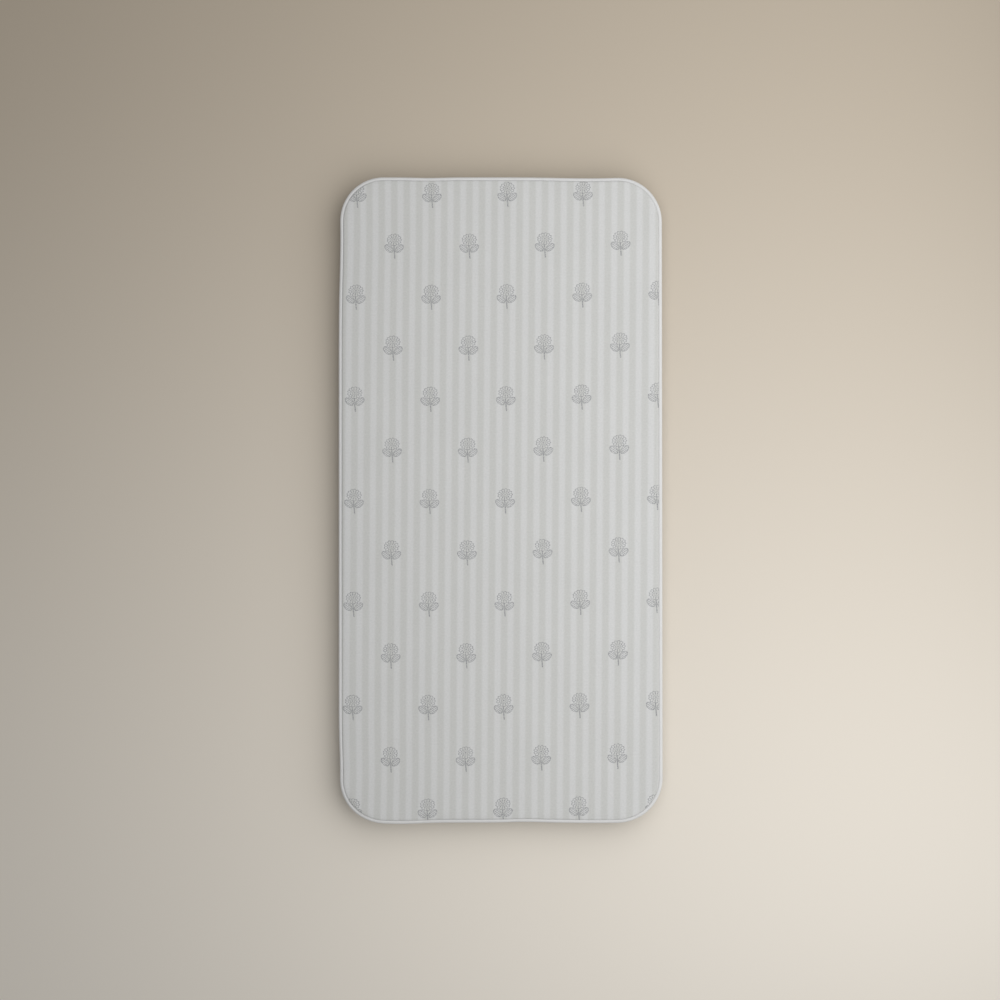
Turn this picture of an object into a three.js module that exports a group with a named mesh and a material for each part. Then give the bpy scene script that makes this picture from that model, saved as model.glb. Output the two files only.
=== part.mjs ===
// A fitted, padded ironing board cover, as it lies when a board fills it.
// Millimetres. X runs across the cover, Y along it and Z up, and the gathered hem stands on Z = 0.

import * as THREE from 'three';

// Outline and layers

const coverWidth = 450; // across the piping
const coverLength = 900; // along the piping
const cornerRadius = 62.5; // of the outline, on the outer side of the piping
const clothThickness = 0.7; // cotton of the top and the skirt
const layerGap = 0.3; // air between plies that lie on each other
const foamThickness = 5;
const feltThickness = 3.5;
const boardRoom = 18; // clear height from the flat hem up to the felt, for the board's rim

// Piped edge

const pipingCordDiameter = 4.2;
const tapeThickness = 0.5;
const edgeRoll = 16; // width over which the padded edge rounds down to the seam
const edgeDrop = 4; // height that it rounds down
const seamAllowance = 10;

// Skirt and gathered hem

const skirtTurnRadius = 6; // where the skirt turns under the board
const hemReach = 55; // from the outline in to the fold of the hem
const hemCornerRadius = 70; // the elastic takes the corners rounder than the outline
const elasticWidth = 8;
const elasticThickness = 1;
const elasticPlay = 1; // free room between the elastic and the fold of the hem
const casingWidth = 13; // from the fold of the hem back to the stitched edge of the casing
const gatherPitch = 58; // one puff and one hollow of the gathered hem
const gatherDepth = 4.5; // a full puff's drop below the flat hem
const gatherLift = 2.5; // a full puff's rise above the elastic
const standFlat = 0.5; // how deep the puffs that the cover stands on are pressed flat

// Joins between the strips of the skirt

const joinGap = 0.3;
const joinAllowance = 10; // each strip's end, pressed back on itself
const joinReach = 20; // from the hem's round corner to the join

// Shares and counts

const cornerSegments = 7;
const rollSegments = 8;
const beadSteps = 10;
const beadWrapShare = 10 / 12; // of a full turn that the tape makes round the cord
const cordSides = 10;
const turnSteps = 3;
const flangeMiddleShare = 0.45; // of the way from the turn to the casing
const flangeMiddleDepthShare = 0.35;
const hemFoldDepthShare = 0.9;
const casingShoulderLiftShare = 0.6;
const gatherEaseShare = 0.16; // by which the shallowest puffs fall short of a full one
const gatherEaseTurns = 1.7; // radians from one puff to the next
const tabWaveShare = 0.25; // of a gather's pitch, taken by the pressed-back end of a strip
const waveShares = [0.12, 0.39, 0.61, 0.88]; // corners of a gather: hollow, puff, puff, hollow

// Heights, from the floor up

const halfCloth = clothThickness / 2;
const flangeHeight = gatherDepth - standFlat + halfCloth;
const elasticBottom = flangeHeight + halfCloth + layerGap;
const elasticTop = elasticBottom + elasticThickness;
const casingHeight = elasticTop + layerGap + halfCloth;
const feltBottom = casingHeight + halfCloth + boardRoom;
const feltTop = feltBottom + feltThickness;
const foamBottom = feltTop + layerGap;
const foamTop = foamBottom + foamThickness;
const topHeight = foamTop + layerGap + halfCloth;
const seamHeight = topHeight - edgeDrop;
const allowanceEnd = seamHeight - seamAllowance;

// Insets, from the outline in

const cordRadius = pipingCordDiameter / 2;
const beadRadius = cordRadius + layerGap + tapeThickness;
const tapeInnerLeg = 2 * beadRadius - tapeThickness / 2;
const tapeOuterLeg = tapeInnerLeg - tapeThickness - layerGap;
const topLeg = 2 * beadRadius + layerGap + halfCloth;
const skirtInnerLeg = tapeOuterLeg - tapeThickness / 2 - layerGap - halfCloth;
const skirtWall = skirtInnerLeg - clothThickness - layerGap;
const hemFoldRadius = elasticThickness / 2 + layerGap + halfCloth;
const hemFoldCentre = hemReach - halfCloth - hemFoldRadius;
const elasticMiddle = hemFoldCentre - elasticPlay - elasticWidth / 2;
const casingEdge = hemReach - casingWidth;

// Rounded rectangles, laid out by their inset from the outline

const halfWidth = coverWidth / 2;
const halfLength = coverLength / 2;
const quarterTurn = Math.PI / 2;
const { clamp, lerp } = THREE.MathUtils;

/** Corner radius of a ring that keeps an even distance to the outline. */
function evenCorner(inset) {
  return cornerRadius - inset;
}

/** Point on the +X +Y corner of a ring, from share 0 where the side ends to share 1 where the end begins. */
function cornerPoint(inset, radius, share) {
  const angle = share * quarterTurn;
  const x = halfWidth - inset - radius + radius * Math.cos(angle);
  const y = halfLength - inset - radius + radius * Math.sin(angle);
  return [x, y];
}

/** Points of a whole ring: four corners with straight sides between them. */
function ringPoints(inset, z, cornerOf = evenCorner) {
  const points = [];
  for (let quarter = 0; quarter < 4; quarter += 1) {
    const rising = quarter % 2 === 0;
    const signX = quarter === 0 || quarter === 3 ? 1 : -1;
    const signY = quarter < 2 ? 1 : -1;
    for (let step = 0; step <= cornerSegments; step += 1) {
      const share = step / cornerSegments;
      const [x, y] = cornerPoint(inset, cornerOf(inset), rising ? share : 1 - share);
      points.push(new THREE.Vector3(signX * x, signY * y, z));
    }
  }
  return points;
}

// Sections are outlines of [inset, z] points

/** Closed outline of a ply: its middle line, set off by half its thickness and any extra to the left. */
function plySection(middle, thickness) {
  const left = [];
  const right = [];
  middle.forEach((point, index) => {
    const before = middle[Math.max(index - 1, 0)];
    const after = middle[Math.min(index + 1, middle.length - 1)];
    const normals = [];
    if (before !== point) {
      normals.push(leftNormal(before, point));
    }
    if (after !== point) {
      normals.push(leftNormal(point, after));
    }
    const sum = normals.reduce((total, normal) => total.add(normal), new THREE.Vector2());
    const mitre = sum.multiplyScalar(normals.length / sum.lengthSq());
    const leftOffset = thickness / 2 + (point.extra ?? 0);
    left.push([point.inset + leftOffset * mitre.x, point.z + leftOffset * mitre.y]);
    right.push([point.inset - thickness / 2 * mitre.x, point.z - thickness / 2 * mitre.y]);
  });
  return [...left, ...right.reverse()];
}

function leftNormal(from, to) {
  return new THREE.Vector2(from.z - to.z, to.inset - from.inset).normalize();
}

/** Points on an arc in section. Angles count from the inward side, upwards. */
function arcPoints(inset, z, radiusAcross, radiusUp, from, to, steps) {
  const points = [];
  for (let step = 0; step <= steps; step += 1) {
    const angle = lerp(from, to, step / steps);
    points.push({
      inset: inset + radiusAcross * Math.cos(angle),
      z: z + radiusUp * Math.sin(angle),
    });
  }
  return points;
}

// Meshes are stitched from rows of points

class Stitcher {
  constructor() {
    this.positions = [];
    this.triangles = [];
  }

  addRow(points) {
    return points.map((point) => this.positions.push(point) - 1);
  }

  /**
   * Fills the band between two rows whose places along them are given by marks. Where both rows have
   * a point at the same mark, the leading row steps on first, which settles the slant of the diagonal.
   */
  addBand(rowA, marksA, rowB, marksB, leadsA = true) {
    let a = 0;
    let b = 0;
    while (a < rowA.length - 1 || b < rowB.length - 1) {
      const nextA = a < rowA.length - 1 ? marksA[a + 1] : Infinity;
      const nextB = b < rowB.length - 1 ? marksB[b + 1] : Infinity;
      if (nextA < nextB || (nextA === nextB && leadsA)) {
        this.triangles.push([rowA[a], rowB[b], rowA[a + 1]]);
        a += 1;
      } else {
        this.triangles.push([rowA[a], rowB[b], rowB[b + 1]]);
        b += 1;
      }
    }
  }

  /** Fills a flat outline, facing the side on which it runs counter-clockwise, or the other side. */
  addCap(indices, outline, facing) {
    const flat = outline.map(([x, y]) => new THREE.Vector2(x, y));
    for (const [i, j, k] of THREE.ShapeUtils.triangulateShape(flat, [])) {
      const turn = THREE.ShapeUtils.area([flat[i], flat[j], flat[k]]);
      const corners = turn * facing > 0 ? [i, j, k] : [i, k, j];
      this.triangles.push(corners.map((corner) => indices[corner]));
    }
  }

  /** The closed geometry, with its faces pointing out. */
  geometry() {
    const volume = this.triangles.reduce((total, [i, j, k]) => {
      const cross = this.positions[j].clone().cross(this.positions[k]);
      return total + this.positions[i].dot(cross);
    }, 0);
    const outward = volume > 0 ? this.triangles : this.triangles.map(([i, j, k]) => [i, k, j]);
    const geometry = new THREE.BufferGeometry();
    geometry.setFromPoints(this.positions);
    geometry.setIndex(outward.flat());
    geometry.computeVertexNormals();
    return geometry;
  }
}

/** A closed ring with the given section all the way round. */
function ringGeometry(section, cornerOf = evenCorner) {
  const stitcher = new Stitcher();
  const marks = ringPoints(0, 0).map((point, index) => index);
  marks.push(marks.length);
  const rows = section.map(([inset, z]) => {
    const row = stitcher.addRow(ringPoints(inset, z, cornerOf));
    return [...row, row[0]];
  });
  rows.forEach((row, index) => {
    stitcher.addBand(row, marks, rows[(index + 1) % rows.length], marks);
  });
  return stitcher.geometry();
}

/** A panel: the section runs from the middle of its underside out round its edge to the middle of its top. */
function panelGeometry(section) {
  const stitcher = new Stitcher();
  const marks = ringPoints(0, 0).map((point, index) => index);
  marks.push(marks.length);
  const rows = section.map(([inset, z]) => stitcher.addRow(ringPoints(inset, z)));
  rows.slice(1).forEach((row, index) => {
    const before = rows[index];
    stitcher.addBand([...before, before[0]], marks, [...row, row[0]], marks);
  });
  const [firstInset] = section[0];
  const [lastInset] = section[section.length - 1];
  const outlineOf = (inset) => ringPoints(inset, 0).map((point) => [point.x, point.y]);
  stitcher.addCap(rows[0], outlineOf(firstInset), 1);
  stitcher.addCap(rows[rows.length - 1], outlineOf(lastInset), -1);
  return stitcher.geometry();
}

// Top cloth, foam and felt

const rollCentre = topLeg + edgeRoll;

/** The rounded edge of the padding, drawn in by an even amount, from the seam up to the flat top. */
function edgeRollPoints(drawnIn, from) {
  const across = edgeRoll - drawnIn;
  const up = edgeDrop - drawnIn;
  return arcPoints(rollCentre, seamHeight, across, up, from, quarterTurn, rollSegments);
}

/** The printed panel: flat on the padding, rounded at its edge and turned down into the seam. */
function makeTopCloth() {
  const roll = edgeRollPoints(0, Math.PI);
  const middle = [{ inset: topLeg, z: allowanceEnd }, ...roll];
  const section = plySection(middle, clothThickness);
  const underside = section.slice(middle.length);
  const topside = section.slice(0, middle.length);
  return panelGeometry([...underside, ...topside]);
}

/** Angle on the rounded edge, drawn in as the padding is, at which the padding reaches a height. */
function padAngle(z) {
  const share = (z - seamHeight) / (edgeDrop - halfCloth - layerGap);
  return Math.PI - Math.asin(clamp(share, 0, 1));
}

/** Foam fills the cloth's rounded edge. */
function makeFoam() {
  const crown = edgeRollPoints(halfCloth + layerGap, padAngle(foamBottom));
  const section = crown.map(({ inset, z }) => [inset, z]);
  const [[edgeInset]] = section;
  return panelGeometry([[edgeInset, foamBottom], ...section.slice(1)]);
}

/** Felt ends square where the rounded edge leaves it room. */
function makeFelt() {
  const [{ inset }] = edgeRollPoints(halfCloth + layerGap, padAngle(feltTop));
  return panelGeometry([
    [inset, feltBottom],
    [inset, feltTop],
  ]);
}

// Piping

/** Bias tape: one leg down into the seam, round the cord, and back down beside the first leg. */
function makePipingTape() {
  const wrapRadius = beadRadius - tapeThickness / 2;
  const wrapEnd = beadWrapShare * 2 * Math.PI;
  const wrap = arcPoints(beadRadius, seamHeight, wrapRadius, wrapRadius, 0, wrapEnd, beadSteps);
  const middle = [
    { inset: tapeInnerLeg, z: allowanceEnd },
    ...wrap,
    { inset: tapeOuterLeg, z: seamHeight - beadRadius },
    { inset: tapeOuterLeg, z: allowanceEnd },
  ];
  return ringGeometry(plySection(middle, tapeThickness));
}

function makePipingCord() {
  const lastTurn = 2 * Math.PI * (1 - 1 / cordSides);
  const steps = cordSides - 1;
  const round = arcPoints(beadRadius, seamHeight, cordRadius, cordRadius, 0, lastTurn, steps);
  return ringGeometry(round.map(({ inset, z }) => [inset, z]));
}

// Skirt: where its strips lie along the loop

const turnRadius = Math.min(skirtTurnRadius, (allowanceEnd - layerGap - flangeHeight) / 2);
const turnEnd = skirtWall + turnRadius;
const hemStraightSide = halfLength - elasticMiddle - hemCornerRadius;
const joinPlace = hemStraightSide - joinReach;
const sideLength = 2 * joinPlace - joinGap;
const sideTabShare = joinAllowance / sideLength;
const sideWaves = Math.max(1, Math.round(2 * joinPlace / gatherPitch));
const cornerWaves = Math.max(1, Math.round(hemCornerRadius * quarterTurn / gatherPitch));
const hemStraightEnd = halfWidth - elasticMiddle - hemCornerRadius;
const endWaves = Math.max(1, Math.round(2 * hemStraightEnd / gatherPitch));

/** Corner radius of a ring of the skirt: even with the outline at its wall, the elastic's at the hem. */
function skirtCorner(inset) {
  const share = clamp((inset - turnEnd) / (casingEdge - turnEnd), 0, 1);
  return lerp(evenCorner(inset), hemCornerRadius + elasticMiddle - inset, share);
}

// A strip runs over legs. A leg knows its gathers, its segments where there are none, and its places.

const sideLegs = [
  { kind: 'side', waves: sideWaves, segments: 1 },
];
const endLegs = [
  { kind: 'tab', waves: tabWaveShare, segments: 1 },
  { kind: 'rest', waves: tabWaveShare, segments: 1 },
  { kind: 'corner', waves: cornerWaves, segments: cornerSegments },
  { kind: 'end', waves: endWaves, segments: 1 },
  { kind: 'corner', waves: cornerWaves, segments: cornerSegments, mirrored: true },
  { kind: 'rest', waves: tabWaveShare, segments: 1, mirrored: true },
  { kind: 'tab', waves: tabWaveShare, segments: 1, mirrored: true },
];

/** Place in plan of a share of a leg, on the +X side or round the +Y end. */
function legPoint(leg, share, inset) {
  const radius = skirtCorner(inset);
  const along = leg.mirrored ? 1 - share : share;
  const sideX = halfWidth - inset;
  const tabStart = joinPlace + joinGap / 2;
  const tabEnd = tabStart + joinAllowance;
  const cornerStart = halfLength - inset - radius;
  const placeOf = {
    side: () => [sideX, lerp(-sideLength / 2, sideLength / 2, along)],
    tab: () => [sideX, lerp(tabStart, tabEnd, along)],
    rest: () => [sideX, lerp(tabEnd, cornerStart, along)],
    corner: () => cornerPoint(inset, radius, along),
    end: () => [(sideX - radius) * (1 - 2 * along), halfLength - inset],
  };
  const [x, y] = placeOf[leg.kind]();
  return leg.mirrored ? [-x, y] : [x, y];
}

/** Stations of a strip: coarse ones for plain cloth, and fine ones that hold every gather. */
function stripStations(legs) {
  const coarse = [];
  const fine = [];
  let phase = 0;
  legs.forEach((leg, index) => {
    const add = (list, share) => {
      list.push({ leg, share, mark: index + share, phase: phase + share * leg.waves });
    };
    const shares = pressedShares(leg);
    for (let segment = 0; segment < leg.segments; segment += 1) {
      shares.push(segment / leg.segments);
    }
    shares.forEach((share) => add(coarse, share));
    [...pressedShares(leg), 0, ...gatherShares(phase, leg.waves)].forEach((share) => add(fine, share));
    phase += leg.waves;
  });
  const last = legs[legs.length - 1];
  [coarse, fine].forEach((list) => {
    list.push({ leg: last, share: 1, mark: legs.length, phase });
    list.sort((one, other) => one.mark - other.mark);
  });
  return { coarse, fine };
}

/** Shares of a leg at which a gather changes from hollow to puff, strictly inside the leg. */
function gatherShares(phase, waves) {
  const shares = [];
  for (let wave = Math.floor(phase); wave < phase + waves; wave += 1) {
    for (const waveShare of waveShares) {
      const share = (wave + waveShare - phase) / waves;
      if (share > 0 && share < 1) {
        shares.push(share);
      }
    }
  }
  return shares;
}

/** Shares at which the pressed-back ends of a strip end and the cloth has stepped down to one ply. */
function pressedShares(leg) {
  if (leg.kind === 'side') {
    const single = sideTabShare + halfCloth / sideLength;
    return [sideTabShare, single, 1 - single, 1 - sideTabShare];
  }
  if (leg.kind === 'rest') {
    const single = halfCloth / (joinReach - joinAllowance);
    return [leg.mirrored ? 1 - single : single];
  }
  return [];
}

/** Whether the cloth at a station lies double, because the strip's end is pressed back there. */
function isPressed({ leg, share }) {
  if (leg.kind === 'side') {
    return share <= sideTabShare || share >= 1 - sideTabShare;
  }
  if (leg.kind === 'rest') {
    return leg.mirrored ? share === 1 : share === 0;
  }
  return leg.kind === 'tab';
}

// Skirt: its section and its gathers

/** How full the gather is at a phase, from 0 in a hollow to about 1 on a puff. */
function gatherFullness(phase) {
  const [, puffStart, puffEnd, hollowStart] = waveShares;
  const [hollowEnd] = waveShares;
  const wave = Math.floor(phase);
  const within = phase - wave;
  const rise = (within - hollowEnd) / (puffStart - hollowEnd);
  const fall = (hollowStart - within) / (hollowStart - puffEnd);
  const ease = gatherEaseShare * Math.sin(gatherEaseTurns * wave) ** 2;
  return clamp(Math.min(rise, fall), 0, 1) * (1 - ease);
}

/** Height of the flat-lying cloth where a puff takes a share of its full depth. */
function puffHeight(fullness, depthShare) {
  return Math.max(flangeHeight - gatherDepth * depthShare * fullness, halfCloth);
}

/** Middle line of the skirt at a station: seam, fold, wall, turn, underside and casing. */
function skirtMiddle(station) {
  const full = gatherFullness(station.phase);
  const extra = isPressed(station) ? clothThickness : 0;
  const foldRadius = (layerGap + clothThickness) / 2;
  const foldInset = (skirtWall + skirtInnerLeg) / 2;
  const foldHeight = seamHeight - beadRadius - layerGap - halfCloth - foldRadius;
  const tabTop = allowanceEnd - layerGap;
  const tabEdge = casingEdge - layerGap;
  const middleInset = lerp(turnEnd, casingEdge, flangeMiddleShare);
  const elasticEdge = elasticMiddle - elasticWidth / 2;
  return [
    { inset: skirtInnerLeg, z: allowanceEnd },
    ...arcPoints(foldInset, foldHeight, foldRadius, foldRadius, 0, Math.PI, turnSteps),
    { inset: skirtWall, z: tabTop },
    ...arcPoints(
      turnEnd, flangeHeight + turnRadius, turnRadius, turnRadius, Math.PI, 3 * quarterTurn, turnSteps,
    ).map((point) => ({ ...point, extra })),
    { inset: middleInset, z: puffHeight(full, flangeMiddleDepthShare), extra },
    { inset: tabEdge - halfCloth, z: puffHeight(full, 1), extra },
    { inset: tabEdge, z: puffHeight(full, 1) },
    { inset: hemFoldCentre, z: puffHeight(full, hemFoldDepthShare) },
    { inset: hemFoldCentre + hemFoldRadius, z: (elasticBottom + elasticTop) / 2 },
    { inset: hemFoldCentre, z: casingHeight + gatherLift * full },
    { inset: elasticEdge - layerGap, z: casingHeight + gatherLift * casingShoulderLiftShare * full },
    { inset: casingEdge, z: puffHeight(full, 1) + clothThickness + layerGap },
  ];
}

const plainPoints = 2 * turnSteps + 3; // of the middle line, from the seam to just before the turn ends

/** One strip of the skirt, on the +X side or round the +Y end. */
function skirtGeometry(legs) {
  const stitcher = new Stitcher();
  const { coarse, fine } = stripStations(legs);
  const sectionAt = (station) => plySection(skirtMiddle(station), clothThickness)
    .map(([inset, z]) => [inset, Math.max(z, 0)]);
  const coarseSections = coarse.map(sectionAt);
  const fineSections = fine.map(sectionAt);
  const count = coarseSections[0].length;
  const rows = [];
  for (let index = 0; index < count; index += 1) {
    const along = Math.min(index, count - 1 - index);
    const plain = along < plainPoints;
    const stations = plain ? coarse : fine;
    const sections = plain ? coarseSections : fineSections;
    const points = stations.map((station, place) => {
      const [inset, z] = sections[place][index];
      const [x, y] = legPoint(station.leg, station.share, inset);
      return new THREE.Vector3(x, y, z);
    });
    rows.push({ indices: stitcher.addRow(points), marks: stations.map(({ mark }) => mark) });
  }
  // Both faces of the ply take the same diagonals, so that they keep their distance where it twists
  rows.forEach((row, index) => {
    const next = rows[(index + 1) % count];
    const outward = index < count / 2;
    stitcher.addBand(row.indices, row.marks, next.indices, next.marks, outward);
  });
  const outline = coarseSections[0];
  const turn = Math.sign(THREE.ShapeUtils.area(outline.map(([x, y]) => new THREE.Vector2(x, y))));
  stitcher.addCap(rows.map((row) => row.indices[0]), outline, -turn);
  stitcher.addCap(rows.map((row) => row.indices[row.indices.length - 1]), outline, turn);
  return stitcher.geometry();
}

/** Flat elastic, which lies loose in the casing and keeps its own round corners. */
function makeElastic() {
  const outerEdge = elasticMiddle - elasticWidth / 2;
  const innerEdge = elasticMiddle + elasticWidth / 2;
  return ringGeometry([
    [outerEdge, elasticBottom],
    [innerEdge, elasticBottom],
    [innerEdge, elasticTop],
    [outerEdge, elasticTop],
  ], skirtCorner);
}

// Materials

const printedCotton = { color: 0xc8c7c4, roughness: 0.85, metalness: 0 };
const whiteTape = { color: 0xdddcda, roughness: 0.8, metalness: 0 };
const cottonCord = { color: 0xe4e0d6, roughness: 0.9, metalness: 0 };
const paleFoam = { color: 0xe8e2cf, roughness: 0.95, metalness: 0 };
const greyFelt = { color: 0xb9b6b0, roughness: 1, metalness: 0 };
const whiteElastic = { color: 0xf0efec, roughness: 0.7, metalness: 0 };

// Assembly

function makePiece(name, geometry, finish) {
  const mesh = new THREE.Mesh(geometry, new THREE.MeshStandardMaterial(finish));
  mesh.name = name;
  return mesh;
}

/** The same strip on the opposite side of the cover. */
function turnedRound(mesh) {
  mesh.rotation.z = Math.PI;
  return mesh;
}

const cover = new THREE.Group();
cover.add(
  makePiece('top_cloth', makeTopCloth(), printedCotton),
  makePiece('foam_pad', makeFoam(), paleFoam),
  makePiece('felt_pad', makeFelt(), greyFelt),
  makePiece('piping_tape', makePipingTape(), whiteTape),
  makePiece('piping_cord', makePipingCord(), cottonCord),
  makePiece('skirt_side_right', skirtGeometry(sideLegs), printedCotton),
  turnedRound(makePiece('skirt_side_left', skirtGeometry(sideLegs), printedCotton)),
  makePiece('skirt_end_head', skirtGeometry(endLegs), printedCotton),
  turnedRound(makePiece('skirt_end_foot', skirtGeometry(endLegs), printedCotton)),
  makePiece('hem_elastic', makeElastic(), whiteElastic),
);

export default cover;
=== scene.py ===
# %% [markdown]
# # A padded ironing board cover
#
# The object is a fitted cover for a rectangular ironing board. Its top is a panel of printed cotton over
# foam and felt. A white piping runs round the edge, and below it hangs a skirt that turns under the board
# and ends in a hem, which an elastic gathers.
#
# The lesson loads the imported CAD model, sets up the camera and the light, and then replaces each soft
# solid by a finer mesh in the same place. The camera, the lamp and the floor are placed in metres, as
# Blender measures. The cloth is worked out in millimetres, which the mesh helper turns into metres.

# %% Load the frame
import math

import bpy
import numpy as np
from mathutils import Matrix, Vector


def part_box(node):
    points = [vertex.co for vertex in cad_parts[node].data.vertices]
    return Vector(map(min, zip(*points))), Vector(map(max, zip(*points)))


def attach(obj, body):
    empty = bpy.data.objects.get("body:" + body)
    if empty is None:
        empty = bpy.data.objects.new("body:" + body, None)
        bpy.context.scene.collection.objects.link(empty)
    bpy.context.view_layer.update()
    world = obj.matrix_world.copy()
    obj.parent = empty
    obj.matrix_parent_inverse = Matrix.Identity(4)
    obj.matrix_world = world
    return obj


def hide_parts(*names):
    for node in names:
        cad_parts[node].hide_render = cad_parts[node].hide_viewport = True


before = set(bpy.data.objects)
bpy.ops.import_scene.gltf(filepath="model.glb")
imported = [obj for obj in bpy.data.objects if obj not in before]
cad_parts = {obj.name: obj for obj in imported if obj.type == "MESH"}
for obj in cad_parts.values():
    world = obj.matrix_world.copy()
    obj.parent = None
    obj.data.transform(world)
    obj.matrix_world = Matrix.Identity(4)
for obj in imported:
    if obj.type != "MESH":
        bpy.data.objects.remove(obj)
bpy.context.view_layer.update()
print("CAD nodes:", sorted(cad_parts))

# %% [markdown]
# ## Camera
#
# The cover was seen straight from above. A long lens from far away keeps the sides hidden under the
# piping, as a lens close by would not. The camera's height follows from the width that it should see.

# %% Camera
scene = bpy.context.scene
scene.view_settings.view_transform = "Standard"

VIEW_WIDTH = 1.393  # metres across the picture, at the cover's surface
LENS = 85.0
SENSOR = 36.0

camera_data = bpy.data.cameras.new("overhead_camera")
camera_data.lens = LENS
camera_data.sensor_width = SENSOR
camera = bpy.data.objects.new("overhead_camera", camera_data)
surface_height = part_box("top_cloth")[1].z
camera.location = (0, 0, surface_height + VIEW_WIDTH * LENS / SENSOR)
scene.collection.objects.link(camera)
scene.camera = camera
print("camera height in metres:", round(camera.location.z, 3))

# %% [markdown]
# ## Drawing with nodes
#
# The floor's shade and the cloth's print are drawn by formulas, and a formula needs many nodes. This
# small class writes them like plain arithmetic, so that it can be read. Each operation adds one node to
# the tree that the value came from, and feed leads the result into a socket.

# %% Drawing with nodes
class Field:
    """A value, a vector or a colour that changes over the surface."""

    def __init__(self, tree, socket):
        self.tree = tree
        self.socket = socket

    def feed(self, socket):
        self.tree.links.new(self.socket, socket)

    def node(self, kind, inputs, output=0, **settings):
        """What a new node puts out. Its inputs are fields or plain values, by name or by number."""
        node = self.tree.nodes.new(kind)
        for name, setting in settings.items():
            setattr(node, name, setting)
        for label, value in inputs.items():
            if isinstance(value, Field):
                value.feed(node.inputs[label])
            elif node.inputs[label].type == "RGBA":
                node.inputs[label].default_value = (*value, 1)
            else:
                node.inputs[label].default_value = value
        return Field(self.tree, node.outputs[output])

    def math(self, operation, *others):
        return self.node("ShaderNodeMath", dict(enumerate((self, *others))), operation=operation)

    def __add__(self, other):
        return self.math("ADD", other)

    def __sub__(self, other):
        return self.math("SUBTRACT", other)

    def __mul__(self, other):
        return self.math("MULTIPLY", other)

    def __truediv__(self, other):
        return self.math("DIVIDE", other)

    def size(self):
        return self.math("ABSOLUTE")

    def wave(self):
        return self.math("SINE")

    def ramp(self, start, end):
        """0 at start and 1 at end, with a soft rise between them."""
        inputs = {"Value": self, "From Min": start, "From Max": end}
        return self.node("ShaderNodeMapRange", inputs, "Result", interpolation_type="SMOOTHSTEP")

    def stroke(self, width, softness=0.25):
        """1 where this distance lies within a line of that width."""
        return self.size().ramp(width / 2 + softness, width / 2 - softness)


# %% [markdown]
# ### Steps that come back
#
# Four steps come back in many formulas: how far away a point is, the strongest of several marks, the two
# parts of a place on the cloth, and a blend of two colours.

# %% Steps that come back
def distance(one, other):
    return (one * one + other * other).math("SQRT")


def strongest(fields):
    result = fields[0]
    for field in fields[1:]:
        result = result.math("MAXIMUM", field)
    return result


def split(vector, scale=1.0):
    """The first two parts of a vector."""
    first = vector.node("ShaderNodeSeparateXYZ", {0: vector})
    second = Field(vector.tree, first.socket.node.outputs["Y"])
    return first * scale, second * scale


def mix_color(factor, one, other):
    """Blends two colours, each a field or three numbers, by a field."""
    return factor.node("ShaderNodeMix", {"Factor": factor, 6: one, 7: other}, 2, data_type="RGBA")


# %% [markdown]
# ## Light
#
# One soft lamp, nearly as large as a window, hangs over the right side. It makes that side of the cover
# a little brighter than the left, and lays a soft shadow along the left edge. The world fills the rest
# evenly. Both add up to a plain level, at which a colour renders about as it is written. Light Path lets
# the camera see a paler world than the one that lights the cover.

# %% Light
LAMP_PLACE = (0.37, 0.05, 0.68)
LAMP_SIZE = (1.93, 1.33)  # metres along the cover and across it
LAMP_POWER = 10.5
FILL_STRENGTH = 0.375
BACKGROUND_COLOR = (0.66, 0.615, 0.55)
SEEN_BY = ("Is Camera Ray", "Is Glossy Ray", "Is Transmission Ray")

lamp_data = bpy.data.lights.new("soft_lamp", "AREA")
lamp_data.shape = "RECTANGLE"
lamp_data.size, lamp_data.size_y = LAMP_SIZE
lamp_data.energy = LAMP_POWER
lamp = bpy.data.objects.new("soft_lamp", lamp_data)
lamp.location = LAMP_PLACE
lamp.rotation_euler = lamp.location.to_track_quat("Z", "Y").to_euler()
lamp.visible_camera = False
scene.collection.objects.link(lamp)

world = bpy.data.worlds.new("studio")
scene.world = world
world.use_nodes = True
tree = world.node_tree
tree.nodes.clear()
backgrounds = []
for color, strength in (((1, 1, 1), FILL_STRENGTH), (BACKGROUND_COLOR, 1.0)):
    background = tree.nodes.new("ShaderNodeBackground")
    background.inputs["Color"].default_value = (*color, 1)
    background.inputs["Strength"].default_value = strength
    backgrounds.append(background.outputs[0])
path = tree.nodes.new("ShaderNodeLightPath")
seen = strongest([Field(tree, path.outputs[label]) for label in SEEN_BY])
choice = tree.nodes.new("ShaderNodeMixShader")
for source, socket in zip((seen.socket, *backgrounds), choice.inputs):
    tree.links.new(source, socket)
tree.links.new(choice.outputs[0], tree.nodes.new("ShaderNodeOutputWorld").inputs["Surface"])
print("lamp at", LAMP_PLACE, "with a fill of", FILL_STRENGTH)

# %% [markdown]
# ## Floor
#
# The floor is a plain board with painted light: it is painted paler towards the foot end, as a pool of
# light, and darker towards the head end, as painted shade. It fades into the background, so that no edge
# of it shows in a low view. It isn't part of the object.

# %% Floor
# The two floor colours are painted light: painted shade at the head end and a painted pool of light at the
# foot end.
SHADED_HEAD_FLOOR_COLOR = (0.456, 0.394, 0.314)
LIT_FOOT_FLOOR_COLOR = (0.73, 0.684, 0.612)
FLOOR_REACH = 2.0  # metres from the middle to each side
FLOOR_BLEND = 0.8  # metres from the middle to where each end's colour is full
FLOOR_FADE = (0.98, 1.9)  # metres from the middle, where it starts and where it ends to fade out

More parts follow.
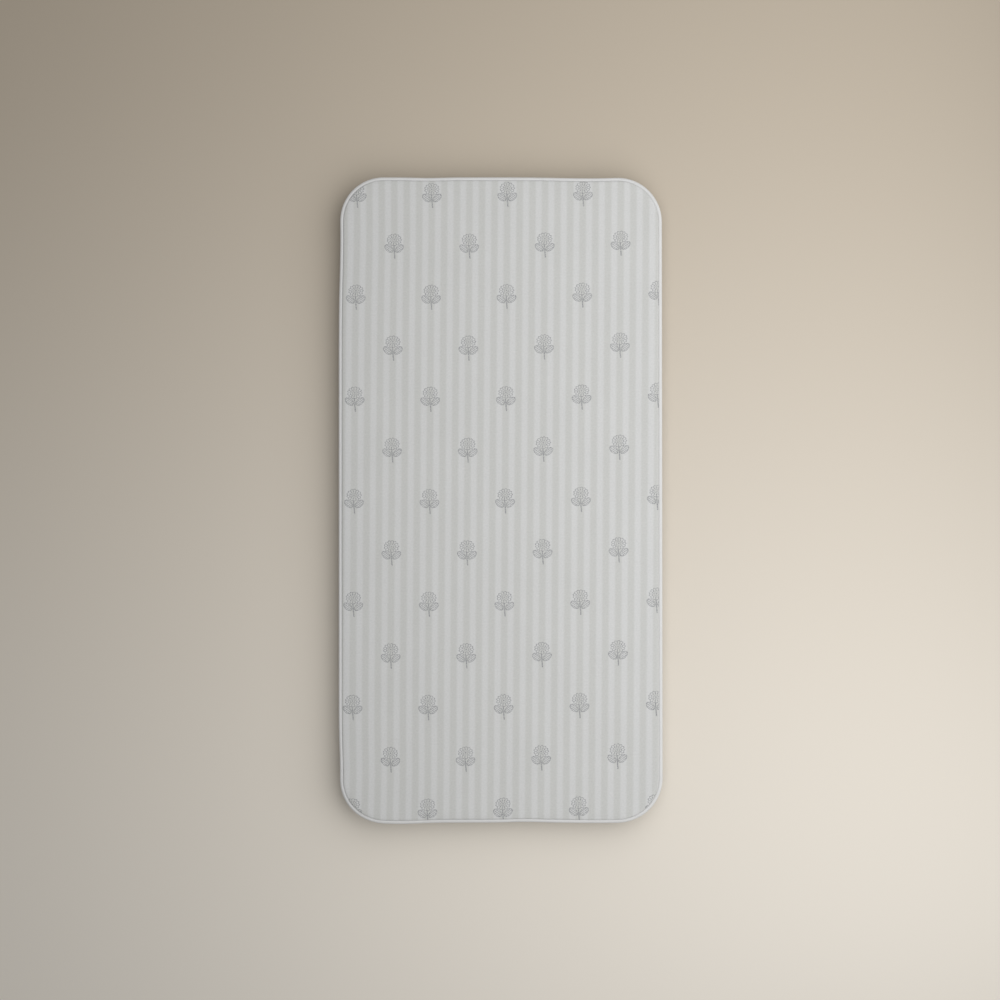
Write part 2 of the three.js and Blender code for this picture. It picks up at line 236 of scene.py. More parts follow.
floor_mesh = bpy.data.meshes.new("floor")
corners = [(x * FLOOR_REACH, y * FLOOR_REACH, 0) for x, y in ((-1, -1), (1, -1), (1, 1), (-1, 1))]
floor_mesh.from_pydata(corners, [], [(0, 1, 2, 3)])
floor = bpy.data.objects.new("floor", floor_mesh)
scene.collection.objects.link(floor)
floor_paint = bpy.data.materials.new("pale_floor")
floor_paint.use_nodes = True
floor_mesh.materials.append(floor_paint)
tree = floor_paint.node_tree
shader = tree.nodes["Principled BSDF"]
shader.inputs["Roughness"].default_value = 0.9
floor_x, floor_y = split(Field(tree, tree.nodes.new("ShaderNodeTexCoord").outputs["Object"]))
footward = floor_y.ramp(FLOOR_BLEND, -FLOOR_BLEND)
mix_color(footward, SHADED_HEAD_FLOOR_COLOR, LIT_FOOT_FLOOR_COLOR).feed(shader.inputs["Base Color"])
distance(floor_x, floor_y).ramp(FLOOR_FADE[1], FLOOR_FADE[0]).feed(shader.inputs["Alpha"])
print("floor to", FLOOR_REACH, "metres from the middle")

# %% [markdown]
# ## Measures
#
# The CAD boxes give the outline and the heights of the layers. What a box can't give, such as the
# thickness of the cloth inside a folded strip, is written here in the source's own values. These are in
# small letters, and values that only the scene has are in capitals.

# %% Measures
def box_mm(node):
    """Lowest and highest corner of a CAD node, in millimetres."""
    low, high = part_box(node)
    return np.array(low) * 1000, np.array(high) * 1000


half_width, half_length = box_mm("piping_tape")[1][:2]
corner_radius = 62.5
cloth = 0.7
gap = 0.3
tape = 0.5

allowance_end = 20.45
edge_drop = 4.0
edge_roll = 16.0
bead_radius = 2.9
cord_radius = 2.1
top_middle = box_mm("top_cloth")[1][2] - cloth / 2
seam_height = top_middle - edge_drop
top_leg = 6.45
roll_centre = top_leg + edge_roll

felt_low, felt_high = (corner[2] for corner in box_mm("felt_pad"))
foam_low = box_mm("foam_pad")[0][2]
elastic_low, elastic_high = (corner[2] for corner in box_mm("hem_elastic"))
join_gap = 0.3
join_place = box_mm("skirt_end_head")[0][1] - join_gap / 2
print("half outline:", half_width, half_length, "heights:", felt_low, foam_low, seam_height, top_middle)

# %% [markdown]
# ## Places round the cover
#
# Every layer is a rounded rectangle, set in from the outline by some inset. A station is one place on
# the way round. It holds five numbers: for X, shares of the straight part and of the corner's radius, the
# same two for Y, and a shift along Y. With them its plan position is found for any inset and corner
# radius, so one list of stations serves all the rings of a piece. The list is made for the right half and
# mirrored, which lets a panel be closed along its middle.

# %% Places round the cover
RING_END, RING_CORNER, RING_SIDE = 44, 26, 250  # stations on half an end, on a corner and on a side


def spread(count):
    """Even shares from 0 up to 1, without the 1."""
    return np.linspace(0, 1, count, endpoint=False)


def corner_rows(count, end):
    """Stations round a right corner, where end is -1 at the foot and 1 at the head."""
    angles = (spread(count) + min(end, 0)) * math.pi / 2
    return [(1, math.cos(angle), end, math.sin(angle), 0) for angle in angles]


def ring_stations():
    """Stations of a whole ring from the middle of the foot end, and the sign of X at each."""
    half = [(share, 0, -1, -1, 0) for share in spread(RING_END)]
    half += corner_rows(RING_CORNER, -1)
    half += [(1, 1, 2 * share - 1, 0, 0) for share in spread(RING_SIDE)]
    half += corner_rows(RING_CORNER, 1)
    half += [(1 - share, 0, 1, 1, 0) for share in np.linspace(0, 1, RING_END + 1)]
    other = half[1:-1][::-1]
    signs = np.array([1.0] * len(half) + [-1.0] * len(other))
    return np.array(half + other, float), signs


def plan(stations, signs, inset, radius):
    """Plan position of every station, for insets and corner radii that are given row by row."""
    inset, radius = np.broadcast_arrays(np.atleast_1d(inset), np.atleast_1d(radius))
    inset, radius = (v[:, None] if v.ndim == 1 else v for v in (inset, radius))
    straight_x, round_x, straight_y, round_y, shift = stations.T
    x = signs * (straight_x * (half_width - inset - radius) + round_x * radius)
    y = straight_y * (half_length - inset - radius) + round_y * radius + shift
    return x, y


def places_along(x, y, closed=False):
    """Distance walked to each point of a line, and on to the first point again where it is closed."""
    if closed:
        x, y = np.append(x, x[0]), np.append(y, y[0])
    return np.concatenate([[0], np.cumsum(np.hypot(np.diff(x), np.diff(y)))])


def even_corner(inset):
    """Corner radius of a ring that keeps an even distance from the outline."""
    return corner_radius - inset


stations, signs = ring_stations()
outline_x, outline_y = plan(stations, signs, 0, corner_radius)
print("stations in a ring:", len(stations))

# %% [markdown]
# ### Laid down by hand
#
# Soft goods never lie quite true. This cover was laid down by hand, so its sides bow in and out by a
# millimetre or two. The rule bends every piece alike, so that all of them stay together.

# %% Laid down by hand
LEFT_DENTS = ((2.2, 365, 75), (1.8, -380, 45))  # each how deep, at which place, and how far to each side
FOOT_BULGES = ((1.8, -139, 38), (-1.0, 35, 30), (0.6, 130, 40))
HEAD_DENTS = ((0.8, -100, 25), (1.4, 120, 50))
RIGHT_BULGE = 1.3
RIGHT_SLANT = 0.6  # less at the head end, and more at the foot


def swells(place, rows):
    """Sum of smooth swells, each given by its size, its middle and its reach."""
    return sum(size * np.exp(-(((place - middle) / reach) ** 2)) for size, middle, reach in rows)


def settle(x, y):
    """Where a point of the true outline comes to lie."""
    leftward = np.clip(-x / half_width, 0, 1) ** 2
    rightward = np.clip(x / half_width, 0, 1) ** 2
    footward = np.clip(-y / half_length, 0, 1) ** 4
    headward = np.clip(y / half_length, 0, 1) ** 4
    push_right = RIGHT_BULGE - RIGHT_SLANT * y / half_length
    new_x = x + leftward * swells(y, LEFT_DENTS) + rightward * push_right
    return new_x, y - footward * swells(x, FOOT_BULGES) - headward * swells(x, HEAD_DENTS)


print("left side bows in by up to", LEFT_DENTS[0][0], "mm")

# %% [markdown]
# ## Meshes from rows
#
# A sewn piece could be made by cloth simulation, but here every fold is held by a seam, a board or an
# elastic, and its shape is known. So each piece is a grid of rows and stations, joined into quads with
# numpy. Each face also stores where its cloth lay when it was still flat, as a UV map named cut, in
# metres. The print and the weave are drawn on that flat cloth, so they bend with every fold. A finished
# piece is handed over with the CAD node that it stands for.

# %% Meshes from rows
def grid_faces(rows, columns, close_rows=False, close_columns=False):
    """Quads of a grid, and for each corner its place in the grid, counted past the end where it closes."""
    i, j = np.meshgrid(
        np.arange(rows if close_rows else rows - 1),
        np.arange(columns if close_columns else columns - 1),
        indexing="ij",
    )
    corners = [(i, j), (i, j + 1), (i + 1, j + 1), (i + 1, j)]
    faces = np.stack([a % rows * columns + b % columns for a, b in corners], -1)
    places = np.stack([np.stack(corner, -1) for corner in corners], -2)
    return faces.reshape(-1, 4), places.reshape(-1, 4, 2)


def make_mesh(name, points, faces, cut, material, sharp=50):
    """A smooth closed object from points and flat cloth places, both in millimetres."""
    points = np.asarray(points, float).reshape(-1, 3)
    x, y = settle(points[:, 0], points[:, 1])
    points = np.stack([x, y, points[:, 2]], -1) / 1000
    corner = points[faces]
    volume = (corner[:, 0] * np.cross(corner[:, 1], corner[:, 2])).sum()
    volume += (corner[:, 0] * np.cross(corner[:, 2], corner[:, 3])).sum()
    if volume < 0:
        faces, cut = faces[:, ::-1], cut[:, ::-1]
    mesh = bpy.data.meshes.new(name)
    mesh.from_pydata(points.tolist(), [], faces.tolist())
    layer = mesh.uv_layers.new(name="cut")
    layer.uv.foreach_set("vector", (cut.reshape(-1, 2) / 1000).astype(np.float32).ravel())
    mesh.polygons.foreach_set("use_smooth", [True] * len(mesh.polygons))
    mesh.set_sharp_from_angle(angle=math.radians(sharp))
    mesh.materials.append(material)
    piece = bpy.data.objects.new(name, mesh)
    scene.collection.objects.link(piece)
    print(f"{name}: {len(points)} points, {len(faces)} faces, {abs(volume) / 6 * 1e6:.1f} cm3")
    return piece


def hand_over(piece, node=None):
    """The piece rides on the cover, and stands for its CAD node if it has one."""
    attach(piece, "root")
    if node is not None:
        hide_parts(node)


# %% [markdown]
# ### Plies, arcs and ripples
#
# Cloth has a thickness, so each ply gets two faces, one on either side of its middle line. Folds are arcs
# in section. A sum of a few waves stands for the small unevenness of sewn work, and it closes on itself
# where the piece does.

# %% Plies, arcs and ripples
def ply_faces(inset, z, thickness, extra=0.0):
    """Both faces of a ply: rows out along one face of its middle line and back along the other."""
    run, rise = np.gradient(inset, axis=0), np.gradient(z, axis=0)
    length = np.hypot(run, rise)
    left_inset, left_z = -rise / length, run / length
    near = thickness / 2 + extra
    left = inset + near * left_inset, z + near * left_z
    right = inset - thickness / 2 * left_inset, z - thickness / 2 * left_z
    return tuple(np.concatenate([one, other[::-1]]) for one, other in zip(left, right))


def arc(inset, z, across, up, start, end, steps):
    """Points on an arc in section. Angles count from the inward side, upwards."""
    angle = np.linspace(start, end, steps + 1)
    return inset + across * np.cos(angle), z + up * np.sin(angle)


def ripple(turns, counts, seed):
    """Smooth noise from -1 to 1 round a closed loop, made of waves that fit it a whole number of times."""
    phases = np.random.default_rng(seed).uniform(0, 2 * math.pi, len(counts))
    waves = [np.cos(2 * math.pi * n * turns + phase) for n, phase in zip(counts, phases)]
    return sum(waves) / len(counts)


# %% [markdown]
# ## Node groups
#
# An effect that several materials share is built once as a node group with named inputs. Each material
# then places the group and gives it values of its own. Noise is in most of them, so it has a helper, and
# so has the stretching or turning of the place where it is read.

# %% Node groups
def make_group(name, inputs, outputs):
    """An empty node group and its inputs as fields. An input whose value is None is a vector."""
    group = bpy.data.node_groups.new(name, "ShaderNodeTree")
    for label, value in inputs.items():
        kind = "NodeSocketVector" if value is None else "NodeSocketFloat"
        socket = group.interface.new_socket(label, in_out="INPUT", socket_type=kind)
        if value is not None:
            socket.default_value = value
    for label in outputs:
        group.interface.new_socket(label, in_out="OUTPUT", socket_type="NodeSocketFloat")
    entry = group.nodes.new("NodeGroupInput")
    leave = group.nodes.new("NodeGroupOutput")
    print("node group:", name)
    return group, {label: Field(group, entry.outputs[label]) for label in inputs}, leave.inputs


def place_group(vector, group, **values):
    """What a group puts out when it is placed on a vector with these values."""
    node = vector.tree.nodes.new("ShaderNodeGroup")
    node.node_tree = group
    vector.feed(node.inputs[0])
    for label, value in values.items():
        node.inputs[label].default_value = value
    return [Field(vector.tree, output) for output in node.outputs]


def mapped(vector, scale=(1, 1, 1), turn=0.0):
    """The vector, first stretched along each axis and then turned."""
    return vector.node("ShaderNodeMapping", {"Vector": vector, "Scale": scale, "Rotation": (0, 0, turn)})


def noise(vector, scale, detail):
    """Noise around a half, with so many grains to a unit."""
    inputs = {"Vector": vector, "Scale": scale, "Detail": detail}
    return vector.node("ShaderNodeTexNoise", inputs, "Fac")


# %% [markdown]
# ## Weave
#
# Plain-woven cotton is a chequer of threads, each going over one and under the next. The group makes the
# height of that chequer, with threads that swell a little here and there. A painted image would do, but
# only a formula keeps its threads at their true half millimetre.

# %% Weave
METRES_TO_MM = 1000.0
SLUB_GRAIN = (1400, 90, 1)  # swellings to a metre, across the threads and along them
CHEQUER_PAINTED_SHADE = 0.3  # how much the chequer shows in the colour

weave_group, given, leave = make_group(
    "plain_weave", {"Cut": None, "Thread": 0.5, "Slub": 0.4}, ["Height", "Tone"]
)
cut_x, cut_y = split(given["Cut"], METRES_TO_MM)
warp, weft = cut_x / given["Thread"], cut_y / given["Thread"]
parity = (warp.math("FLOOR") + weft.math("FLOOR")).math("FLOORED_MODULO", 2.0)
over = (warp * math.pi).wave().size()
under = (weft * math.pi).wave().size()
crossing = over * parity + under * (parity * -1 + 1)
slub = noise(mapped(given["Cut"], SLUB_GRAIN), 1.0, 2.0) - 0.5
(crossing + slub * given["Slub"]).feed(leave["Height"])
# The tone is the slub's own yarn colour plus painted shade of the chequer: lighter where a thread rides
# over, darker where it dips under.
(slub + crossing * CHEQUER_PAINTED_SHADE).feed(leave["Tone"])

# %% [markdown]
# ## Ticking stripes
#
# Ticking is a plain lengthwise stripe that has been woven and printed for centuries. Here pale and beige
# bands of nearly equal width take turns, with the soft edges of a weak dye.

# %% Ticking stripes
PRINT_START = 7.1  # from the middle of the cover to the middle of a beige band
PRINT_LEAN = 0.007  # sideways for each millimetre along, as the cloth was laid a little askew
BAND_EDGES = (-0.75, 0.6)  # heights of the wave between which a band changes its colour

stripe_group, given, leave = make_group(
    "ticking_stripe", {"Cut": None, "Pitch": 17.54, "Lean": PRINT_LEAN, "Start": PRINT_START}, ["Band"]
)
cut_x, cut_y = split(given["Cut"], METRES_TO_MM)
turn = (cut_x - cut_y * given["Lean"] - given["Start"]) / given["Pitch"] * (2 * math.pi)
(turn + math.pi / 2).wave().ramp(*BAND_EDGES).feed(leave["Band"])

# %% [markdown]
# ## Sprigs
#
# A small block-printed sprig repeats in a half drop: every other column starts half a repeat lower. The
# columns stand on every third beige band. First each point of the cloth finds the sprig next to it, and
# its own place beside that sprig's middle.

# %% Sprigs
sprig_group, given, leave = make_group(
    "sprig_print",
    {"Cut": None, "Column": 52.62, "Repeat": 143.1, "Lean": PRINT_LEAN, "Start": PRINT_START, "Rise": -3.3},
    ["Ink"],
)
cut_x, cut_y = split(given["Cut"], METRES_TO_MM)
lined_up = cut_x - cut_y * given["Lean"] - given["Start"]
column = (lined_up / given["Column"]).math("ROUND")
across = lined_up - column * given["Column"]
dropped = cut_y - given["Rise"] + column.math("FLOORED_MODULO", 2.0) * given["Repeat"] / 2
up = dropped - (dropped / given["Repeat"]).math("ROUND") * given["Repeat"]

# %% [markdown]
# ### Marks of the sprig
#
# The sprig is a round flower head between broad leaves on a short stem. It is drawn from circles,
# ellipses and rays, whose distances a Math node can measure, as an old printing block was cut from simple
# gouge marks. Noise then eats gaps into every line, as the worn block and the threads do.

# %% Marks of the sprig
PETALS, RIM_RADIUS, SCALLOP_DEPTH, CREASE_RADIUS = 13, 8.4, 1.7, 7.2
SEEDS, SEED_RADIUS = 11, 5.7
INNER_WAVES, INNER_RADIUS = 7, 3.3
HEAD_MIDDLE, HEAD_SQUASH = 7.4, 1.22
HATCH_PITCH, HATCH_LEAN = 2.3, 0.12
STEM_LENGTH, STEM_DROP, STEM_LEAN = 19.0, 9.6, 0.09
GAPS = (0.38, 0.56)  # values of the noise between which a gap in the print fades out
GAP_INK = 0.15  # ink that is left in a gap


def flower_head(across, up):
    """Scalloped rim, petal creases, ring of seeds, inner ring and heart, a little wider than high."""
    rise = (up - HEAD_MIDDLE) * HEAD_SQUASH
    out = distance(across, rise)
    angle = rise.math("ARCTAN2", across)
    scallop = (angle * (PETALS / 2) + math.pi / 2).wave().size()
    rim = (out - scallop * SCALLOP_DEPTH - RIM_RADIUS).stroke(1.25)
    rays = (scallop * out / (PETALS / 2)).stroke(0.8) * (out - CREASE_RADIUS).stroke(3.2)
    place = angle * (SEEDS / (2 * math.pi))
    aside = (place - place.math("ROUND")) * out * (2 * math.pi / SEEDS)
    seeds = distance(aside, out - SEED_RADIUS).stroke(1.8)
    inner = (out - INNER_RADIUS - (angle * INNER_WAVES).wave() * 0.6).stroke(0.9)
    return [rim, rays, seeds, inner, out.stroke(2.4)]


def leaf(across, up, centre, tilt, length, width):
    """An outlined leaf, hatched along its length."""
    aside = across - centre[0]
    rise = up - centre[1]
    along = aside * math.cos(tilt) + rise * math.sin(tilt)
    off = rise * math.cos(tilt) - aside * math.sin(tilt)
    reach = distance(along / length, off / width)
    outline = ((reach - 1) * width).stroke(0.9)
    hatch = (off + along * HATCH_LEAN) / HATCH_PITCH
    veins = (hatch - hatch.math("ROUND")).stroke(0.42, 0.14) * reach.ramp(0.97, 0.82)
    return [outline, veins]


leaves = leaf(across.size(), up, centre=(7.4, -4.8), tilt=0.72, length=6.6, width=4.1)
stem = (across + up * STEM_LEAN + 0.6).stroke(1.7) * (up + STEM_DROP).stroke(STEM_LENGTH)
marks = [*flower_head(across, up), *leaves, stem]
bite = noise(given["Cut"], 900.0, 3.0).ramp(*GAPS)
(strongest(marks) * (bite * (1 - GAP_INK) + GAP_INK)).feed(leave["Ink"])
print("sprig marks:", len(marks))

# %% [markdown]
# ## Mottling
#
# No real cloth is one even colour. A slow noise over the surface stands for small differences in the
# dye, and as painted shade for how the cloth lies. Every material uses it, each at its own scale.

# %% Mottling
mottle_group, given, leave = make_group("mottling", {"Place": None, "Scale": 20.0, "Detail": 3.0}, ["Tone"])
(noise(given["Place"], given["Scale"], given["Detail"]) - 0.5).feed(leave["Tone"])


def mottled(cut, scale, detail=3.0):
    """The group's tone, around zero, with so many blotches to a metre."""
    return place_group(cut, mottle_group, Scale=scale, Detail=detail)[0]


# %% [markdown]
# ## Materials
#
# Each material starts the same way, with a Principled shader for matt textile, and ends the same way,
# with a colour that is mixed from the groups and one Bump node for the threads. The helpers below do
# both, and shade makes a colour lighter and darker over the surface.

# %% Materials
def new_material(name, roughness, sheen=0.1):
    """A matt textile, and as a field the place where it lay on the flat cloth."""
    material = bpy.data.materials.new(name)
    material.use_nodes = True
    tree = material.node_tree
    shader = tree.nodes["Principled BSDF"]
    shader.inputs["Roughness"].default_value = roughness
    shader.inputs["Specular IOR Level"].default_value = 0.25
    shader.inputs["Sheen Weight"].default_value = sheen
    shader.inputs["Sheen Roughness"].default_value = 0.6
    cut = tree.nodes.new("ShaderNodeUVMap")
    cut.uv_map = "cut"
    print("material:", name)
    return material, Field(tree, cut.outputs["UV"])


def shade(color, tone, strength):
    """Makes a colour lighter or darker by a field around zero."""
    inputs = {"Value": tone * strength + 1, "Color": color}
    return tone.node("ShaderNodeHueSaturation", inputs, "Color")


def finish(material, color, height, depth_mm, strength=1.0):
    """The material with its colour and its bump in place."""
    shader = material.node_tree.nodes["Principled BSDF"]
    color.feed(shader.inputs["Base Color"])
    inputs = {"Height": height, "Distance": depth_mm / 1000, "Strength": strength}
    height.node("ShaderNodeBump", inputs).feed(shader.inputs["Normal"])
    return material


# %% [markdown]
# ### Printed cotton
#
# Off-white cotton, printed with pale and beige ticking stripes and grey-blue sprigs. The ink follows the
# threads, so the weave breaks it up a little. The skirt is cut from the same cloth, and differs only in
# where the print starts on it.

# %% Printed cotton
PALE_BAND = (0.579, 0.581, 0.576)
BEIGE_BAND = (0.521, 0.523, 0.507)
INK = (0.212, 0.217, 0.228)
SKIRT_PRINT_START = 2.0


def printed_cotton(name, start):
    material, cut = new_material(name, 0.85, 0.2)
    [band] = place_group(cut, stripe_group, Start=start)
    [ink] = place_group(cut, sprig_group, Start=start)
    height, threads = place_group(cut, weave_group, Thread=0.5, Slub=0.5)
    blotch, yarn = mottled(cut, 14.0, 4.0), mottled(cut, 420.0)
    striped = mix_color(band, PALE_BAND, BEIGE_BAND)
    printed = mix_color(ink * (threads * 0.5 + 0.85), striped, INK)
    # Dye blotches, with painted shade where the cloth lies unevenly, and the fine grain of the yarn.
    uneven = shade(printed, blotch + yarn * 3.4, 0.06)
    # The weave's tone darkens the colour as painted shade between the crossing threads, and adds the yarn's
    # slubs.
    return finish(material, shade(uneven, threads, 0.07), height, 0.10, 0.6)


top_cotton = printed_cotton("printed_cotton", PRINT_START)
skirt_cotton = printed_cotton("skirt_cotton", SKIRT_PRINT_START)

# %% [markdown]
# ### Tape, cord and elastic
#
# The piping's tape is cut on the bias, at 45 degrees to its threads, so that it bends round the corners
# without creases. Its weave is drawn on turned coordinates. The cord is soft twisted cotton, and the
# elastic is woven with ribs along it and fine bars across.

# %% Tape, cord and elastic
WHITE = (0.665, 0.665, 0.66)
CORD_CREAM = (0.62, 0.58, 0.50)
ELASTIC_WHITE = (0.68, 0.68, 0.67)
BIAS = math.radians(45)
TWIST = math.radians(30)
RIB_PITCH = 1.6
BAR_PITCH = 0.9


def plain_textile(name, color, roughness, thread, angle, depth_mm):
    material, cut = new_material(name, roughness)
    height, threads = place_group(mapped(cut, turn=angle), weave_group, Thread=thread, Slub=0.5)
    # The weave's tone adds painted shade between the crossing threads, and the yarn's slubs.
    color = shade(shade(color, mottled(cut, 60.0), 0.08), threads, 0.10)
    return finish(material, color, height, depth_mm)


def ribbed_elastic():
    material, cut = new_material("elastic", 0.65, 0.05)
    along, over = split(cut, METRES_TO_MM)
    ribs = (over * (2 * math.pi / RIB_PITCH)).wave() * 0.5 + 0.5
    bars = (along * (2 * math.pi / BAR_PITCH)).wave() * 0.5 + 0.5
    # The ribs also lighten the colour on their crests and darken it between them, as painted shade in the
    # grooves.
    color = shade(ELASTIC_WHITE, mottled(cut, 200.0, 2.0) + ribs * 0.4 - 0.2, 0.15)
    return finish(material, color, ribs * 0.7 + bars * 0.3, 0.15)


white_tape = plain_textile("white_tape", WHITE, 0.75, 0.42, BIAS, 0.10)
cotton_cord = plain_textile("cotton_cord", CORD_CREAM, 0.9, 0.9, TWIST, 0.2)
elastic_weave = ribbed_elastic()

# %% [markdown]
# ### Foam and felt
#
# Open-cell foam shows tiny round pores, which a Voronoi texture draws. Needled felt is a mat of fibres in
# all directions, with darker flecks of reused wool. Both are seen only through the mouth of the hem.

# %% Foam and felt
FOAM_CREAM = (0.66, 0.60, 0.45)
FELT_GREY = (0.40, 0.385, 0.355)
FELT_FLECK = (0.16, 0.16, 0.18)
FLECKS = (0.66, 0.74)  # strengths of the mat between which a fleck shows
FIBRES = ((0.3, (260, 2600, 1)), (1.5, (240, 2400, 1)), (2.6, (300, 2200, 1)))  # turn and grain of each mat


def foam_material():
    material, cut = new_material("foam", 0.95, 0.05)
    depth = cut.node("ShaderNodeTexVoronoi", {"Vector": cut, "Scale": 1200.0}, "Distance")
    # The pores' depth also darkens the colour inside them, as painted shade.
    color = shade(FOAM_CREAM, mottled(cut, 30.0) + depth * 0.6 - 0.3, 0.25)
    return finish(material, color, depth, 0.35)


def felt_material():
    material, cut = new_material("felt", 1.0, 0.2)
    mat = strongest([noise(mapped(mapped(cut, turn=turn), grain), 1.0, 3.0) for turn, grain in FIBRES])
    worn = shade(FELT_GREY, mottled(cut, 12.0, 5.0) * 0.4 + mat - 0.55, 0.5)
    return finish(material, mix_color(mat.ramp(*FLECKS) * 0.5, worn, FELT_FLECK), mat, 0.5)


pale_foam = foam_material()
grey_felt = felt_material()

# %% [markdown]
# ## Panels: the printed top, the foam and the felt
#
# A panel is a stack of rings. The first lies in the middle of its underside, and they run out, round the
# edge and back in to the middle of its top. The innermost ring is a thin slit, which is closed by quads
# from each station to its mirror image. The weft of a cut length is never quite square to its warp, so
# the rows of the print rise a little towards the right. The cloth was also drawn up by two or three
# millimetres in the middle when it was laid on the foam.

# %% Panels
INNER_SHARES = np.linspace(0, 0.97, 20)[1:]
MIDDLE_LENGTH_SHARE = 0.8  # of a panel's length that its innermost slit keeps
RISEN, RISE_START, RISE_REACH = 4.2, -48, 211  # of the print's rows, across the cover
DRAWN_UP, DRAWN_MIDDLE, DRAWN_REACH = 2.7, -60, 480  # of the same, along it


def inward_rows(inset, z):
    """Plan positions and heights of the rings from a given inset in to the middle slit."""
    x, y = plan(stations, signs, inset, even_corner(inset))
    share = INNER_SHARES[:, None]
    rows_x = x * (1 - share)
    rows_y = y * (1 - share * (1 - MIDDLE_LENGTH_SHARE))
    return rows_x, rows_y, np.full(rows_x.shape, z)


def edge_rows(insets, heights):
    x, y = plan(stations, signs, insets, even_corner(insets))
    return x, y, np.broadcast_to(np.asarray(heights)[:, None], x.shape)


def askew(x, y):
    """How far the print's rows lie above their square places."""
    risen = RISEN * np.clip((x - RISE_START) / RISE_REACH, 0, 1.3) ** 1.3
    drawn_up = DRAWN_UP * np.cos(math.pi / 2 * np.clip((y - DRAWN_MIDDLE) / DRAWN_REACH, -1, 1))
    return risen + drawn_up


def panel(name, insets, heights, material, lift, unrolled=None):
    """A panel from its edge section. lift shifts heights, and unrolled gives the insets of the flat cut."""
    low = inward_rows(insets[0], heights[0])
    high = inward_rows(insets[-1], heights[-1])
    edge = edge_rows(insets, heights)
    flat = edge if unrolled is None else edge_rows(unrolled, heights)
    parts = [[low[k][::-1], edge[k], high[k]] for k in range(3)]
    x, y, z = (np.concatenate(part) for part in parts)
    flat_x, flat_y = (np.concatenate([low[k][::-1], flat[k], high[k]]) for k in range(2))
    points = np.stack([x, y, lift(x, y, z)], -1)
    rows, columns = x.shape
    faces, places = grid_faces(rows, columns, close_columns=True)
    places[..., 1] %= columns
    flats = np.stack([flat_x, flat_y - askew(flat_x, flat_y)], -1)
    cut = flats[places[..., 0], places[..., 1]]
    right = np.arange(columns // 2)
    mirrored = (columns - right) % columns
    for row, turned_over in ((0, False), (rows - 1, True)):
        ends = [right, right + 1, (mirrored - 1) % columns, mirrored]
        quads = np.stack([row * columns + end for end in ends], -1)[1:-1]
        quads = quads if turned_over else quads[:, ::-1]
        faces = np.concatenate([faces, quads])
        cut = np.concatenate([cut, flats.reshape(-1, 2)[quads]])
    return make_mesh(name, points, faces, cut, material)


# %% [markdown]
# ### Puckers
#
# Tiny puckers stand along the seam, where the cloth is eased round the padding. They fade out over the
# rounded edge. The flat top is nearly even, but for slow swells of a few tenths of a millimetre.

# %% Puckers
PUCKERS = 198  # about 13 mm apart
PUCKER_HEIGHT = 0.55
PUCKER_REACH = 0.8  # of the drop of the edge
UNEVENNESS = 0.12

turns = np.linspace(0, 1, len(stations), endpoint=False)
pucker_wave = 0.5 + 0.5 * np.cos(2 * math.pi * PUCKERS * turns + 2.5 * ripple(turns, (17, 29, 43), 3))
pucker_strength = 0.5 + 0.5 * ripple(turns, (7, 11, 19), 5)


def cloth_lift(x, y, z):
    """Puckers by the seam and a slow unevenness of the flat top, both upwards, away from the foam."""
    seam_share = np.clip(1 - (z - seam_height) / (edge_drop * PUCKER_REACH), 0, 1)
    seam_share = np.where(z < seam_height, 0, seam_share)
    uneven = UNEVENNESS * (2 + np.sin(x / 41 + y / 97) + np.sin(y / 63 - x / 155 + 1.3))
    flat_share = np.clip((z - seam_height) / edge_drop, 0, 1) ** 2
    return z + (PUCKER_HEIGHT * pucker_strength * pucker_wave * seam_share + uneven * flat_share)


print("puckers:", PUCKERS, "up to", PUCKER_HEIGHT, "mm high")

# %% [markdown]
# ### Printed top
#
# The cloth lies flat on the foam, rounds down at its edge, leans on the piping and is turned down into
# the seam, with a centimetre of allowance. The flat place of each ring is found by walking along the
# ply, so the print runs on round the edge without stretching.

# %% Printed top
EDGE_STEPS = 14
SHOULDER = 0.72  # an exponent: 1 gives an ellipse, and less a fuller edge
LEANING_TURN = math.radians(48)  # how far up the piping the cloth leans on it
SNUG = 0.1


def padded_edge(across, up, start=math.pi, base=seam_height):
    """The padded edge in section, from a start angle to the flat top."""
    angle = np.linspace(start, math.pi / 2, EDGE_STEPS + 1)
    out, rise = (np.sign(part) * abs(part) ** SHOULDER for part in (np.cos(angle), np.sin(angle)))
    return roll_centre + across * out, base + up * rise


leaning_radius = bead_radius + SNUG + cloth / 2
leaning_inset, leaning_z = arc(
    bead_radius, seam_height, leaning_radius, leaning_radius, 0, LEANING_TURN, 4
)
roll_inset, roll_z = padded_edge(
    roll_centre - leaning_inset[-1], top_middle - leaning_z[-1], base=leaning_z[-1]
)
roll_inset = np.concatenate([leaning_inset[:-1], roll_inset])
roll_z = np.concatenate([leaning_z[:-1], roll_z])
allowance_z = np.linspace(allowance_end, seam_height, 5)[:-1]
middle_inset = np.concatenate([np.full(len(allowance_z), top_leg), roll_inset])
middle_z = np.concatenate([allowance_z, roll_z])
walked = places_along(middle_inset, middle_z)
flat_inset = roll_centre - (walked[-1] - walked)
section_inset, section_z = ply_faces(middle_inset, middle_z, cloth)
count = len(middle_inset)
order = np.concatenate([np.arange(count, 2 * count), np.arange(count)])
both_flat = np.concatenate([flat_inset, flat_inset[::-1]])

